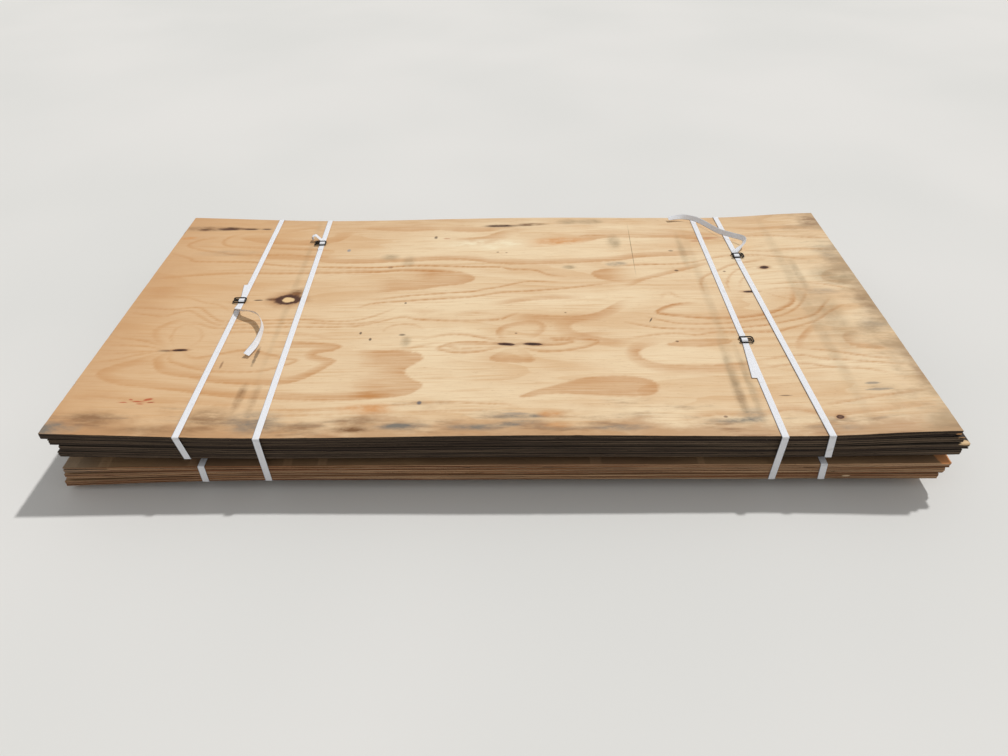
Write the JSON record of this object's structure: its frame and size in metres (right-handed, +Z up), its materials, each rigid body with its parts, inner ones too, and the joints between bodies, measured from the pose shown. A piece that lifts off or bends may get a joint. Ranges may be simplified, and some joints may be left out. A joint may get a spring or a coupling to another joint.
{
  "type": "stack of plywood sheets",
  "caption": "Strapped bundles of weathered pine plywood sheets, stacked flat on bearers with spacers between them, held by white woven straps with wire buckles.",
  "frame": {"origin": "on the floor, under the middle of the top sheet, at the middle bearer's underside", "axes": "+X along the sheets' length, +Y across them towards the far long edge, +Z up"},
  "size_m": [2.478, 1.2257, 0.2481],
  "materials": {
    "upper_plywood": "bare rotary-cut pine, sun-faded face, edges weathered dark grey-brown",
    "lower_plywood": "bare rotary-cut pine, reddish-brown edges",
    "lumber": "rough-sawn, weathered",
    "strap_webbing": "white woven polyester cord strapping, slight sheen",
    "buckle_wire": "dark phosphated wire, rubbed bright in places"
  },
  "bodies": {
    "root": {"upper_sheet_1": "upper_plywood", "upper_sheet_2": "upper_plywood", "upper_sheet_3": "upper_plywood", "upper_sheet_4": "upper_plywood", "lower_sheet_1": "lower_plywood", "lower_sheet_2": "lower_plywood", "lower_sheet_3": "lower_plywood", "bearers": "lumber", "spacers": "lumber", "strap_a": "strap_webbing", "strap_b": "strap_webbing", "strap_c": "strap_webbing", "strap_d": "strap_webbing", "strap_e": "strap_webbing", "strap_f": "strap_webbing", "buckles": "buckle_wire"}
  },
  "joints": []
}
